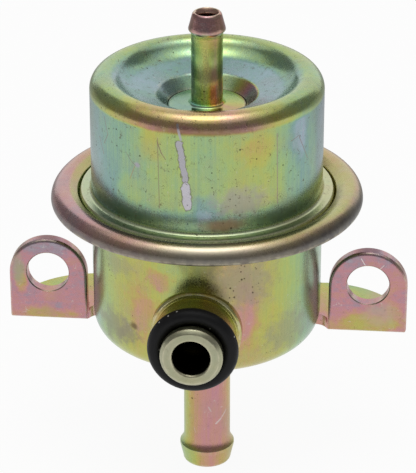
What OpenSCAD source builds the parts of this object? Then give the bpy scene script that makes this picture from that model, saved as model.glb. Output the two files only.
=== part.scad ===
// Fuel pressure regulator with a crimped two-cup body, bolted by two ears, millimetres
// Z is the body axis, the inlet points to -Y and the ear holes lie in the plane Y = 0

/* [Cups] */
// Outer diameter of both drawn cups
shell_d = 38.5; // [37:0.5:41]
// Sheet thickness of both cups
sheet = 0.8; // [0.65:0.05:0.95]
// Height of the cap's crest above its flange
cap_h = 21.3; // [19:0.2:26]
// Radius of the cap's shoulder
shoulder_r = 2.6; // [2:0.1:3.2]
// Depth of the dish's floor below the crest, where the throat begins
dish_depth = 3.6; // [3:0.1:4.2]
// Rise of the dish's floor towards the shoulder, in degrees
dish_slope = 15; // [10:1:20]
// Radius of the valley between the dish's floor and the shoulder
valley_r = 5; // [4:0.5:6.5]
// Diameter of the countersunk throat around the nipple
throat_d = 16.7; // [16:0.1:17.4]
// Slope of the throat, in degrees
throat_slope = 47; // [42:1:50]
// Radius of the throat's upper edge
throat_r = 1.2; // [1:0.1:1.5]
// Radius between the cap's wall and its flange
foot_r = 0.7; // [0.5:0.1:1.2]
// Height of the housing from its base to the top of its flange
housing_h = 24.5; // [23.5:0.2:28]
// Radius of the housing's lower corner
corner_r = 4.4; // [4:0.2:5.5]
// Height of the collar that is drawn up around the return pipe
collar_h = 2.2; // [1.5:0.1:3]

/* [Crimped rim] */
// Height of the clamped diaphragm above the inlet axis
rim_z = 15.5; // [14.6:0.1:18]
// Outer diameter of the rolled rim
rim_d = 52; // [50.5:0.5:55]
// Inner diameter of the rim's folded lip
lip_d = 43.1; // [42:0.1:44.5]
// Slope of the folded lip down to its edge, in degrees
lip_tilt = 12; // [8:1:15]
// Radius of the rim's lower edge
belly_r = 0.9; // [0.85:0.05:1.1]
// Diameter of the cap's flange and of the diaphragm inside the rim
clamp_d = 48.2; // [47:0.1:48.6]

/* [Vacuum nipple] */
// Diameter of the nipple's boss in the cap
boss_d = 13; // [11.6:0.2:14]
// Diameter of the nipple's stem
stem_d = 5.25; // [4.8:0.05:5.8]
// Diameter of the nipple's bore
stem_bore = 3; // [2:0.1:3.5]
// Height of the nipple above its boss
stem_h = 15.9; // [11:0.1:20]
// Diameter of the nipple's barb
stem_barb_d = 6.1; // [5.9:0.05:6.6]
// Height of the nipple's barb
stem_barb_h = 3.4; // [3:0.1:4.5]

/* [Inlet] */
// Distance of the inlet's tip from the body axis
tip_y = 28.4; // [27.6:0.2:33]
// Diameter of the inlet's base flange
base_d = 14.9; // [14.2:0.1:16]
// Diameter of the inlet's shoulder behind the seal ring
shoulder_d = 13.2; // [12:0.1:13.8]
// Diameter of the inlet's tip
tip_d = 10.2; // [9.9:0.1:10.8]
// Diameter of the inlet's bore
inlet_bore = 6.1; // [5:0.1:7]
// Length of the inlet's tip in front of the seal ring groove
tip_l = 1.9; // [1.4:0.1:2.4]
// Section diameter of the seal ring
ring_cs = 2.65; // [2.4:0.05:2.9]
// Diameter of the seal ring groove
groove_d = 9.5; // [9:0.1:9.7]

/* [Return pipe] */
// Outer diameter of the return pipe
pipe_d = 8; // [7:0.1:8.4]
// Inner diameter of the return pipe
pipe_bore = 6; // [5.4:0.1:6.4]
// Length of the return pipe below the housing
pipe_l = 26; // [18:0.5:36]
// Diameter of the pipe's barb
pipe_barb_d = 9.4; // [8.8:0.1:10]
// Length of the pipe's barb
pipe_barb_h = 5.4; // [5:0.1:7]

/* [Bracket] */
// Sheet thickness of the bracket
bracket_t = 2; // [1.6:0.1:2.4]
// Width of each ear
ear_w = 13.3; // [12.5:0.1:15]
// Gap between the housing and each ear
ear_gap = 1.4; // [0.8:0.1:2]
// Diameter of the bolt hole in each ear
ear_hole_d = 7.2; // [6.4:0.1:7.6]
// Height of the ears' round top above the bolt holes
ear_rise = 6.1; // [5.8:0.1:7]
// Depth of the ears' lower edge below the bolt holes
ear_drop = 9; // [8.4:0.1:9.2]
// Radius of the bracket's rounded end lobes
lobe_r = 14; // [12.5:0.1:15]
// Width of the strap around the back of the housing
strap_w = 3; // [2:0.1:4]

/* [Valve group] */
// Thickness of the diaphragm
dia_t = 0.3; // [0.25:0.05:0.4]
// Sag of the diaphragm's centre with the valve closed
dia_sag = 1.6; // [1.2:0.1:2]
// Diameter of the spring plate on the diaphragm
plate_d = 28; // [27.8:0.1:29]
// Thickness of the spring plate
plate_t = 1; // [0.8:0.1:1.4]
// Diameter of the washer under the diaphragm
washer_d = 22; // [18:0.5:25]
// Diameter of the valve ball
ball_d = 4; // [3.6:0.1:4.2]
// Diameter of the valve plate
valve_plate_d = 8.6; // [8:0.1:9]
// Height of the valve seat above the return pipe
seat_h = 3.9; // [3:0.1:5]
// Diameter of the valve seat's bore
seat_bore = 3.6; // [2.8:0.1:4.2]

/* [Pressure spring] */
// Wire diameter of the pressure spring
wire_d = 2.5; // [2.2:0.1:2.7]
// Mean diameter of the pressure spring
coil_d = 24; // [23.6:0.1:24.6]
// Number of turns of the pressure spring
coil_turns = 4.5; // [4:0.25:5]

/* [Hidden] */
$fn = 96;
// Steps of each arc in a profile
arc_steps = 8;
// Overrun of cutting shapes past the faces that they cut
over = 1;
// Gap that the braze fills between two joined pieces
braze_gap = 0.03;
// Rounding of cut sheet edges
edge_r = 0.25;
// Radius between the housing's wall and its flange
rim_fillet = 0.8;
// Running gap of the loose valve pieces
run_gap = 0.05;

// Heights and radii of the crimped rim
shell_r = shell_d / 2;
rim_r = rim_d / 2;
lip_r = lip_d / 2;
clamp_r = clamp_d / 2;
base_z = rim_z - housing_h;
rim_under = rim_z - sheet;
belt_z = rim_under + belly_r;
cap_under = rim_z + dia_t;
cap_face = cap_under + sheet;

// Folded lip, whose edge rests on the cap's flange, and the crown that runs into it
lip_up = [-sin(lip_tilt), cos(lip_tilt)];
lip_edge = (sheet - 2 * edge_r) * lip_up;
lip_foot = [lip_r + edge_r - lip_edge[0], cap_face + edge_r];
lip_head = lip_foot + lip_edge;
crown_r = ((lip_head - [rim_r, belt_z]) * lip_up + edge_r) / (1 + sin(lip_tilt));

// Curves of the cap's dished top, from the throat out to the shoulder
crest_z = cap_face + cap_h;
shoulder_c = [shell_r - shoulder_r, crest_z - shoulder_r];
floor_a = 90 + dish_slope;
throat_a = 90 + throat_slope;
floor_dir = [cos(dish_slope), sin(dish_slope)];
floor_up = [cos(floor_a), sin(floor_a)];
throat_up = [cos(throat_a), sin(throat_a)];
throat_edge = [throat_d / 2, crest_z - dish_depth];
throat_c = throat_edge - throat_r * (floor_up + throat_up) / (1 + floor_up * throat_up);
hole_r = boss_d / 2 + braze_gap;
hole_edge = [hole_r, throat_edge[1] - (throat_edge[0] - hole_r) * tan(throat_slope)];
hole_under = hole_edge - sheet * throat_up;
valley_q = throat_edge + valley_r * floor_up - shoulder_c;
valley_b = valley_q * floor_dir;
valley_s = -valley_b - sqrt(pow(valley_b, 2) - valley_q * valley_q + pow(shoulder_r + valley_r, 2));
valley_c = shoulder_c + valley_q + valley_s * floor_dir;
meet = valley_c - shoulder_c;
meet_a = atan2(meet[1], meet[0]);

// Heights of the nipple
boss_rise = 0.1;
boss_top = hole_edge[1] + boss_rise;
nipple_flange_z = hole_under[1] - braze_gap;
nipple_flange_t = 1.2;
nipple_flange_w = 2;
nipple_flange_r = boss_d / 2 + nipple_flange_w;
stem_top = boss_top + stem_h;

// Inlet stations along its own axis
ring_gap = 0.02;
ring_play = 0.15;
groove_w = ring_cs + ring_play;
groove_front = tip_y - tip_l;
groove_back = groove_front - groove_w;
base_rise = 0.6;
base_face = shell_r + base_rise;
base_chamfer = 0.3;
neck_wall = 1.4;
neck_r = inlet_bore / 2 + neck_wall;
neck_stub = 1;
neck_end = shell_r - sheet - neck_stub;
throttle_step = 1;
throttle_r = inlet_bore / 2 - throttle_step;
throttle_l = 3;
tip_chamfer = 0.6;
bore_chamfer = 0.25;

// Bracket plan
ear_r = ear_w / 2;
ear_x = shell_r + ear_gap + ear_r;
ear_c = ear_rise - ear_r;
ear_edge_r = 0.6;
ear_bevel = 0.15;
ear_corner_r = 0.8;
bend_r = 0.8;
bend_fillet = 1.2;
bracket_z = -ear_drop;
lobe_x = ear_x + ear_r - lobe_r;
strap_r = shell_r + strap_w;
strap_fillet = 4;
notch_r = 2.3;
bracket_reach = 2 * (ear_x + ear_r);

// Heights of the valve group, from the diaphragm down to the pipe
centre_z = rim_z - dia_sag;
washer_t = 0.8;
holder_top = centre_z - washer_t;
shank_r = 2.4;
ball_r = ball_d / 2;
ball_sink = 0.1;
ball_z = holder_top - ball_r + ball_sink;
dimple = 0.4;
valve_plate_t = 1.4;
valve_plate_r = valve_plate_d / 2;
valve_top = ball_z - ball_r + dimple - run_gap;
valve_face = valve_top - valve_plate_t;
valve_step = 0.6;
valve_step_w = 0.9;
retainer_t = 0.4;
retainer_z = valve_face + valve_step - run_gap - retainer_t;
retainer_w = 1.6;
retainer_play = 0.2;
retainer_bore_r = valve_plate_r - valve_step_w + retainer_play;
retainer_r = retainer_bore_r + retainer_w;
pocket_play = 0.2;
pocket_r = valve_plate_r + pocket_play;
holder_wall = 0.9;
holder_r = retainer_r + holder_wall;
holder_chamfer = 0.6;
plate_under = centre_z + dia_t;
plate_top = plate_under + plate_t;
plate_boss_h = 1.5;
rivet_h = 0.8;
rivet_w = 1.2;
rivet_r = shank_r + rivet_w;
seat_z = valve_face;
pipe_top = seat_z - seat_h;
pipe_end = base_z - pipe_l;
pipe_r = pipe_d / 2;

// Heights of the pressure spring
upper_seat_rim = 1.2;
upper_seat_r0 = throat_c[0];
upper_seat_r1 = coil_d / 2 + wire_d / 2 + upper_seat_rim;
upper_seat_t = 1;
floor_under = throat_edge[1] - sheet / cos(dish_slope);
upper_seat_top = floor_under + (upper_seat_r0 - throat_edge[0]) * tan(dish_slope) - braze_gap;
upper_seat_z = upper_seat_top - upper_seat_t;
coil_z0 = plate_top + run_gap;
coil_h = upper_seat_z - run_gap - coil_z0;
coil_play = 0.2;
closed_pitch = wire_d + coil_play;
open_pitch = (coil_h - wire_d - 2 * closed_pitch) / (coil_turns - 2);

// Points of an arc about c, from angle a0 to a1
function arc(c, r, a0, a1) =
    [for (i = [0:arc_steps]) let (a = a0 + (a1 - a0) * i / arc_steps) c + r * [cos(a), sin(a)]];

// Height of the spring wire's centre after a number of turns, with both end turns closed
function coil_rise(n) =
    n < 1 ? n * closed_pitch
    : n < coil_turns - 1 ? closed_pitch + (n - 1) * open_pitch
    : closed_pitch + (coil_turns - 2) * open_pitch + (n - coil_turns + 1) * closed_pitch;

// Solid of revolution about the body axis
module turned(points) {
    rotate_extrude() polygon(points);
}

// Turns a piece made along +Z so that it points along the inlet
module along_inlet() {
    rotate([90, 0, 0]) children();
}

// Drawn upper cup that holds the spring
module spring_cap() {
    foot_c = [shell_r + foot_r, cap_face + foot_r];
    color("darkkhaki") turned(concat(
        [[clamp_r, cap_face]],
        arc(foot_c, foot_r, 270, 180),
        arc(shoulder_c, shoulder_r, 0, meet_a),
        arc(valley_c, valley_r, meet_a + 180, floor_a + 180),
        arc(throat_c, throat_r, floor_a, throat_a),
        [hole_edge, hole_under],
        arc(throat_c, throat_r - sheet, throat_a, floor_a),
        arc(valley_c, valley_r + sheet, floor_a + 180, meet_a + 180),
        arc(shoulder_c, shoulder_r - sheet, meet_a, 0),
        arc(foot_c, foot_r + sheet, 180, 270),
        [[clamp_r, cap_under]]));
}

// Turned hose nipple for the vacuum line, set in the throat of the cap
module vacuum_nipple() {
    stem_r = stem_d / 2;
    crest_r = stem_barb_d / 2;
    foot = 0.6;
    land = 0.3;
    lead = 0.65;
    back = 0.4;
    lip = 0.25;
    sink_w = 0.45;
    sink_h = 0.7;
    crest_low = stem_top - stem_barb_h + back;
    color("olivedrab") turned(concat(
        [[stem_bore / 2, nipple_flange_z - nipple_flange_t],
         [nipple_flange_r, nipple_flange_z - nipple_flange_t],
         [nipple_flange_r, nipple_flange_z],
         [boss_d / 2, nipple_flange_z],
         [boss_d / 2, boss_top - edge_r],
         [boss_d / 2 - edge_r, boss_top]],
        arc([stem_r + foot, boss_top + foot], foot, 270, 180),
        [[stem_r, crest_low - back],
         [crest_r, crest_low],
         [crest_r, crest_low + land],
         [crest_r - lead, stem_top - lip],
         [crest_r - lead - lip, stem_top],
         [stem_bore / 2 + sink_w, stem_top],
         [stem_bore / 2, stem_top - sink_h]]));
}

// Drawn lower cup whose rim is rolled over the cap's flange and the diaphragm
module lower_housing() {
    collar_r = pipe_r + braze_gap;
    collar_fillet = 0.8;
    collar_bend = sheet + collar_fillet;
    collar_c = [collar_r + collar_bend, base_z + collar_bend];
    corner_c = [shell_r - corner_r, base_z + corner_r];
    fillet_c = [shell_r + rim_fillet, rim_under - rim_fillet];
    belly_c = [rim_r - belly_r, belt_z];
    crown_c = [rim_r - crown_r, belt_z];
    collar_top = base_z + sheet + collar_h;
    color("darkkhaki") difference() {
        turned(concat(
            [[collar_r, collar_top]],
            arc(collar_c, collar_bend, 180, 270),
            arc(corner_c, corner_r, 270, 360),
            arc(fillet_c, rim_fillet, 180, 90),
            arc(belly_c, belly_r, 270, 360),
            arc(crown_c, crown_r, 0, 90 + lip_tilt),
            arc(lip_head, edge_r, 90 + lip_tilt, 180 + lip_tilt),
            arc(lip_foot, edge_r, 180 + lip_tilt, 270 + lip_tilt),
            arc(crown_c, crown_r - sheet, 90 + lip_tilt, 0),
            arc(belly_c, belly_r - sheet, 360, 270),
            arc(fillet_c, rim_fillet + sheet, 90, 180),
            arc(corner_c, corner_r - sheet, 360, 270),
            arc(collar_c, collar_bend - sheet, 270, 180),
            [[collar_r + sheet, collar_top]]));
        along_inlet() cylinder(r = neck_r + braze_gap, h = shell_d);
    }
}

// Plan of the bracket's flat plate, with end lobes and a strap behind the housing
module bracket_plan() {
    web_x = sqrt(pow(strap_r + strap_fillet, 2) - pow(lobe_r + strap_fillet, 2));
    difference() {
        union() {
            circle(r = strap_r);
            for (side = [-1, 1]) {
                translate([side * lobe_x, 0]) circle(r = lobe_r);
                difference() {
                    polygon([[0, 0], [side * lobe_x, lobe_r], [side * web_x, lobe_r + strap_fillet],
                             strap_r / (strap_r + strap_fillet) * [side * web_x, lobe_r + strap_fillet]]);
                    translate([side * web_x, lobe_r + strap_fillet]) circle(r = strap_fillet);
                }
            }
        }
        translate([-bracket_reach, -2 * bracket_reach]) square(2 * bracket_reach);
        for (side = [-1, 1])
            translate([side * (ear_x - ear_r - notch_r), 0]) circle(r = notch_r);
    }
}

// Section of a bent ear across its thickness, with a coined outer edge and an inner fillet
module ear_bend() {
    top = ear_rise + ear_edge_r;
    inner = bracket_t + bend_fillet;
    polygon(concat(
        [[0, top]],
        arc([bend_r, bracket_z + bend_r], bend_r, 180, 270),
        [[inner, bracket_z], [inner, bracket_z + bracket_t]],
        arc([inner, bracket_z + inner], bend_fillet, 270, 180),
        [[bracket_t, top]]));
}

// Round-topped ear with rounded front edges, turned at the top and swept down from there
module ear_blank() {
    depth = bracket_t + bend_fillet;
    outline = concat(
        [[0, 0]],
        [[ear_r - ear_edge_r, 0]],
        arc([ear_r - ear_edge_r, ear_edge_r], ear_edge_r, -90, 0),
        [[ear_r, depth], [0, depth]]);
    translate([0, 0, ear_c]) rotate([90, 0, 0]) mirror([0, 0, 1]) rotate_extrude() polygon(outline);
    for (side = [0, 1])
        mirror([side, 0, 0])
            translate([0, 0, bracket_z]) linear_extrude(ear_drop + ear_c) polygon(outline);
}

// Cutter that rounds the lower outer corner of each ear
module ear_corners() {
    for (side = [0, 1])
        mirror([side, 0, 0])
            translate([ear_x + ear_r - ear_corner_r, -over, bracket_z + ear_corner_r])
                rotate([-90, 0, 0]) linear_extrude(bracket_t + bend_fillet + over) difference() {
                    square(ear_corner_r + over);
                    circle(r = ear_corner_r);
                }
}

// Bent bracket brazed round the back of the housing, with an ear on each side
module mounting_bracket() {
    color("rosybrown") difference() {
        union() {
            translate([0, 0, bracket_z]) linear_extrude(bracket_t) intersection() {
                bracket_plan();
                translate([-bracket_reach, bend_r]) square(2 * bracket_reach);
            }
            for (side = [-1, 1])
                translate([side * ear_x, 0, 0]) intersection() {
                    ear_blank();
                    rotate([90, 0, 90]) translate([0, 0, -ear_w]) linear_extrude(2 * ear_w) ear_bend();
                }
        }
        turned(concat(
            [[0, base_z - over], [shell_r - corner_r, base_z - braze_gap]],
            arc([shell_r - corner_r, base_z + corner_r], corner_r + braze_gap, 270, 360),
            [[shell_r + braze_gap, 0], [0, 0]]));
        ear_corners();
        for (side = [-1, 1])
            translate([side * ear_x, 0, 0]) rotate([-90, 0, 0]) {
                translate([0, 0, -over]) cylinder(d = ear_hole_d, h = bracket_t + 2 * over);
                cylinder(d1 = ear_hole_d + 2 * ear_bevel, d2 = ear_hole_d, h = ear_bevel);
            }
    }
}

// Turned inlet spigot, saddled on the housing's wall, with a groove for the seal ring
module inlet_spigot() {
    shoulder_edge = 0.2;
    color("olive") along_inlet() difference() {
        union() {
            difference() {
                turned([[0, neck_end], [base_d / 2, neck_end],
                        [base_d / 2, base_face - base_chamfer],
                        [base_d / 2 - base_chamfer, base_face],
                        [shoulder_d / 2, base_face],
                        [shoulder_d / 2, groove_back - shoulder_edge],
                        [shoulder_d / 2 - shoulder_edge, groove_back],
                        [groove_d / 2, groove_back],
                        [groove_d / 2, groove_front],
                        [tip_d / 2, groove_front],
                        [tip_d / 2, tip_y - tip_chamfer],
                        [tip_d / 2 - tip_chamfer, tip_y],
                        [0, tip_y]]);
                rotate([90, 0, 0]) translate([0, 0, -shell_d])
                    cylinder(r = shell_r + braze_gap, h = 2 * shell_d);
            }
            translate([0, 0, neck_end]) cylinder(r = neck_r, h = base_face - neck_end);
        }
        turned([[0, neck_end - over], [throttle_r, neck_end - over],
                [throttle_r, neck_end + throttle_l],
                [inlet_bore / 2, neck_end + throttle_l + throttle_step],
                [inlet_bore / 2, tip_y - bore_chamfer],
                [inlet_bore / 2 + bore_chamfer, tip_y],
                [inlet_bore / 2 + bore_chamfer, tip_y + over], [0, tip_y + over]]);
    }
}

// Rubber seal ring in the inlet's groove
module inlet_seal_ring() {
    centre = (groove_front + groove_back) / 2;
    color("black") along_inlet() translate([0, 0, centre])
        rotate_extrude() translate([groove_d / 2 + ring_gap + ring_cs / 2, 0]) circle(d = ring_cs);
}

// Return pipe brazed through the housing's base, with a hose barb at its lower end
module return_pipe() {
    bore_r = pipe_bore / 2;
    crest_r = pipe_barb_d / 2;
    land = 0.4;
    back = 1.9;
    nose = 0.7;
    lead = 0.55;
    nose_r = crest_r - lead;
    crest_z = pipe_end + pipe_barb_h - back;
    flare_a = 2 * atan((crest_r - pipe_r) / back);
    flare_r = back / sin(flare_a);
    color("tan") turned(concat(
        [[bore_r, pipe_end], [nose_r - nose, pipe_end]],
        arc([nose_r - nose, pipe_end + nose], nose, 270, 360),
        [[crest_r, crest_z - land]],
        arc([pipe_r + flare_r, crest_z + back], flare_r, 180 + flare_a, 180),
        [[pipe_r, pipe_top],
         [bore_r, pipe_top]]));
}

// Valve seat set in the upper end of the return pipe
module valve_seat() {
    plug_l = 5;
    collar_t = 1.2;
    nozzle_wall = 1.4;
    nozzle_edge = 0.5;
    nozzle_r = seat_bore / 2 + nozzle_wall;
    color("silver") turned([
        [seat_bore / 2, pipe_top - plug_l],
        [pipe_bore / 2 - braze_gap, pipe_top - plug_l],
        [pipe_bore / 2 - braze_gap, pipe_top],
        [pipe_r, pipe_top],
        [pipe_r, pipe_top + collar_t],
        [nozzle_r, pipe_top + collar_t],
        [nozzle_r, seat_z - nozzle_edge],
        [nozzle_r - nozzle_edge, seat_z],
        [seat_bore / 2, seat_z]]);
}

// Flat valve plate that closes the seat and tilts on the ball
module valve_plate() {
    color("gainsboro") difference() {
        turned([[0, valve_face], [valve_plate_r - valve_step_w, valve_face],
                [valve_plate_r - valve_step_w, valve_face + valve_step],
                [valve_plate_r, valve_face + valve_step],
                [valve_plate_r, valve_top], [0, valve_top]]);
        translate([0, 0, ball_z]) sphere(r = ball_r + run_gap);
    }
}

// Steel ball between the holder and the valve plate
module valve_ball() {
    color("silver") translate([0, 0, ball_z]) sphere(r = ball_r);
}

// Ring that keeps the valve plate in its pocket
module valve_retainer() {
    color("goldenrod") turned([
        [retainer_bore_r, retainer_z], [retainer_r, retainer_z],
        [retainer_r, retainer_z + retainer_t], [retainer_bore_r, retainer_z + retainer_t]]);
}

// Valve holder riveted through the diaphragm, with a socket for the ball
module valve_holder() {
    tilt_gap = 0.15;
    ceiling = valve_top + tilt_gap;
    rivet_top = plate_top + plate_boss_h + rivet_h;
    color("lightgray") difference() {
        turned([[0, retainer_z], [holder_r, retainer_z],
                [holder_r, holder_top - holder_chamfer], [holder_r - holder_chamfer, holder_top],
                [shank_r, holder_top], [shank_r, rivet_top - rivet_h],
                [rivet_r, rivet_top - rivet_h], [rivet_r, rivet_top - rivet_h / 2],
                [rivet_r - rivet_w / 2, rivet_top], [0, rivet_top]]);
        turned([[0, retainer_z - over], [retainer_r + braze_gap, retainer_z - over],
                [retainer_r + braze_gap, retainer_z + retainer_t],
                [pocket_r, retainer_z + retainer_t], [pocket_r, ceiling],
                [ball_r + run_gap, ceiling], [ball_r + run_gap, ball_z], [0, ball_z]]);
        translate([0, 0, ball_z]) sphere(r = ball_r + run_gap);
    }
}

// Washer that backs the diaphragm from below
module diaphragm_washer() {
    washer_edge = 0.3;
    color("silver") turned([
        [shank_r + braze_gap, holder_top], [washer_d / 2 - washer_edge, holder_top],
        [washer_d / 2, holder_top + washer_edge], [washer_d / 2, centre_z],
        [shank_r + braze_gap, centre_z]]);
}

// Rubber-coated fabric diaphragm, clamped at the rim and sagging to the valve holder
module diaphragm() {
    plate_play = 0.3;
    wall_play = 0.4;
    slope_r0 = plate_d / 2 + plate_play;
    slope_r1 = shell_r - sheet - wall_play;
    sweep = [for (i = [0:arc_steps]) let (u = i / arc_steps)
        [slope_r0 + (slope_r1 - slope_r0) * u, centre_z + dia_sag * (1 - cos(180 * u)) / 2]];
    under = concat([[shank_r + braze_gap, centre_z]], sweep, [[clamp_r, rim_z]]);
    upper = [for (i = [len(under) - 1:-1:0]) under[i] + [0, dia_t]];
    color("dimgray") turned(concat(under, upper));
}

// Plate that carries the pressure spring on the diaphragm
module spring_plate() {
    boss_play = 0.3;
    boss_taper = 0.5;
    boss_r = (coil_d - wire_d) / 2 - boss_play;
    color("silver") turned([
        [shank_r + braze_gap, plate_under], [plate_d / 2, plate_under],
        [plate_d / 2, plate_top], [boss_r, plate_top],
        [boss_r - boss_taper, plate_top + plate_boss_h],
        [shank_r + braze_gap, plate_top + plate_boss_h]]);
}

// Coil spring that sets the pressure, with closed end turns
module pressure_spring() {
    sides = 10;
    turn_steps = 20;
    rings = round(coil_turns * turn_steps);
    wire_r = wire_d / 2;
    points = [for (i = [0:rings], j = [0:sides - 1])
        let (n = coil_turns * i / rings, turn = 360 * n,
             a = 360 * j / sides, r = coil_d / 2 + wire_r * cos(a))
        [r * cos(turn), r * sin(turn), coil_z0 + wire_r + coil_rise(n) + wire_r * sin(a)]];
    skin = [for (i = [0:rings - 1], j = [0:sides - 1]) let (k = (j + 1) % sides)
        [i * sides + j, (i + 1) * sides + j, (i + 1) * sides + k, i * sides + k]];
    start_cap = [for (j = [0:sides - 1]) j];
    end_cap = [for (j = [sides - 1:-1:0]) rings * sides + j];
    color("slategray") polyhedron(points, concat(skin, [start_cap, end_cap]), convexity = 10);
}

// Ring that carries the spring's upper end under the cap
module upper_spring_seat() {
    color("silver") turned([
        [upper_seat_r0, upper_seat_z], [upper_seat_r1, upper_seat_z],
        [upper_seat_r1, upper_seat_top], [upper_seat_r0, upper_seat_top]]);
}

spring_cap();
vacuum_nipple();
lower_housing();
mounting_bracket();
inlet_spigot();
inlet_seal_ring();
return_pipe();
valve_seat();
valve_plate();
valve_ball();
valve_retainer();
valve_holder();
diaphragm_washer();
diaphragm();
spring_plate();
pressure_spring();
upper_spring_seat();
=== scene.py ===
import math
from types import SimpleNamespace

import bmesh
import bpy
import numpy as np
from mathutils import Matrix, Vector


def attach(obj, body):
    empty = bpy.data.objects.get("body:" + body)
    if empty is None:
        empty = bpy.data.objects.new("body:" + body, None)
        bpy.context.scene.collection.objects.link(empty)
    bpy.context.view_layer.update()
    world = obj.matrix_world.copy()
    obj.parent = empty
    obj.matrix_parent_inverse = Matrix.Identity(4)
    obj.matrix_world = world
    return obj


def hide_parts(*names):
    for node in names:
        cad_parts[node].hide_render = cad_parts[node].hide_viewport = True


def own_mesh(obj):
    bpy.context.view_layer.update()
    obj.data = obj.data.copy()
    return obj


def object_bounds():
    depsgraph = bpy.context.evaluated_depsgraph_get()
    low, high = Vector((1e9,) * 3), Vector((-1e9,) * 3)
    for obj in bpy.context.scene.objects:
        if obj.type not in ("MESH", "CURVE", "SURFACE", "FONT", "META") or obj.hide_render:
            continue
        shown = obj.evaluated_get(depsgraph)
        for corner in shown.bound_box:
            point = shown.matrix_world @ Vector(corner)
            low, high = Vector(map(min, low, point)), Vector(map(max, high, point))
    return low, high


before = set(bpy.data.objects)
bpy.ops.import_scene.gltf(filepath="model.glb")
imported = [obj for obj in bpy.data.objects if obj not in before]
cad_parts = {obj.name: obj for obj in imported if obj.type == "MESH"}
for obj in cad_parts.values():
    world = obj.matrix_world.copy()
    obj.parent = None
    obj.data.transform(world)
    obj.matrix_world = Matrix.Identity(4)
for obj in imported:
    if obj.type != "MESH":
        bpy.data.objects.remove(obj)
cad_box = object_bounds()

# Lower housing: a cup drawn from 0.8 mm steel sheet, zinc plated and passivated yellow.
# Its rim is rolled over the cap's flange, and a collar is drawn up inside round the return pipe.
# The wall has one hole, for the neck of the inlet spigot. Sizes are in millimetres, angles in degrees.
shell_r = 19.25
sheet = 0.8
corner_r = 4.4
base_z = -9.0
rim_r = 26.0
rim_under = 15.25
rim_fillet = 0.8
belt_z = 15.9
belly_r = 0.65
clamp_z = 15.47
clamp_end = 24.25
lip_r = 21.55
lip_slope = 30
edge_r = 0.25
cap_face = 16.6
collar_r = 4.03
collar_bend = 1.6
collar_top = -6.0
neck_hole_r = 4.48


def arc(centre, radius, start, end, steps=14):
    """Points of a circular arc: the centre plus the radius times (cos a, sin a), a from start to end."""
    a = np.radians(np.linspace(start, end, steps + 1))
    return np.array(centre) + radius * np.stack([np.cos(a), np.sin(a)], 1)


def leaning(slope):
    """Unit vector square to a line that rises outwards by the slope: (-sin, cos)."""
    a = math.radians(slope)
    return np.array([-math.sin(a), math.cos(a)])


def fine(profile, step):
    """Splits each side of a closed profile into equal parts no longer than step."""
    ahead = np.roll(profile, -1, 0) - profile
    count = np.maximum(1, np.ceil(np.linalg.norm(ahead, axis=1) / step)).astype(int)
    which = np.repeat(np.arange(len(profile)), count)
    share = (np.arange(len(which)) - np.repeat(np.cumsum(count) - count, count)) / count[which]
    return profile[which] + share[:, None] * ahead[which]


def edge_of(profile):
    """How exposed each point of a closed profile is: its turn per millimetre times a reach of 0.45 mm,
    0 where the profile is flat or hollow and 1 on a tight outer edge."""
    side = np.roll(profile, -1, 0) - profile
    before = np.roll(side, 1, 0)
    cross = before[:, 0] * side[:, 1] - before[:, 1] * side[:, 0]
    turn = np.arctan2(cross, (before * side).sum(1))
    length = (np.linalg.norm(side, axis=1) + np.linalg.norm(before, axis=1)) / 2
    return np.clip(turn / length * 0.45, 0, 1)


def grid_faces(rows, cols, capped):
    """Corners and face starts of a closed grid: each point makes a quad with the next column and row.
    A capped grid is open between its last row and its first, and each of the two gets a flat face."""
    index = np.arange(rows * cols).reshape(rows, cols)
    right = np.roll(index, -1, 1)
    quads = np.stack([index, right, np.roll(right, -1, 0), np.roll(index, -1, 0)], -1)
    if not capped:
        return quads.ravel(), np.arange(0, quads.size, 4)
    quads = quads[:-1]
    corners = np.concatenate([quads.ravel(), index[0, ::-1], index[-1]])
    starts = np.arange(0, quads.size, 4)
    return corners, np.concatenate([starts, [quads.size, quads.size + cols]])


def skin(name, grid, edge, capped=False):
    """A closed mesh on a grid of points in millimetres: rows follow a profile and columns go round.
    Each point carries its row's edge value, for wear."""
    rows, cols = grid.shape[:2]
    corners, starts = grid_faces(rows, cols, capped)
    mesh = bpy.data.meshes.new(name)
    mesh.vertices.add(rows * cols)
    mesh.vertices.foreach_set("co", (grid * 0.001).astype(np.float32).ravel())
    mesh.loops.add(len(corners))
    mesh.loops.foreach_set("vertex_index", corners.astype(np.int32))
    mesh.polygons.add(len(starts))
    mesh.polygons.foreach_set("loop_start", starts.astype(np.int32))
    exposure = mesh.attributes.new("edge", "FLOAT", "POINT")
    exposure.data.foreach_set("value", np.repeat(edge, cols).astype(np.float32))
    mesh.update(calc_edges=True)
    mesh.polygons.foreach_set("use_smooth", np.ones(len(starts), bool))
    mesh.set_sharp_from_angle(angle=math.radians(34))
    piece = bpy.data.objects.new(name, mesh)
    bpy.context.scene.collection.objects.link(piece)
    return piece


def turned(name, profile, columns=240):
    """A closed profile of (radius, height) carried round the body axis: x = r sin a, y = -r cos a."""
    a = np.linspace(0, 2 * np.pi, columns, endpoint=False)
    r = profile[:, :1]
    h = profile[:, 1:] + 0 * a
    return skin(name, np.stack([r * np.sin(a), -r * np.cos(a), h], -1), edge_of(profile))


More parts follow.
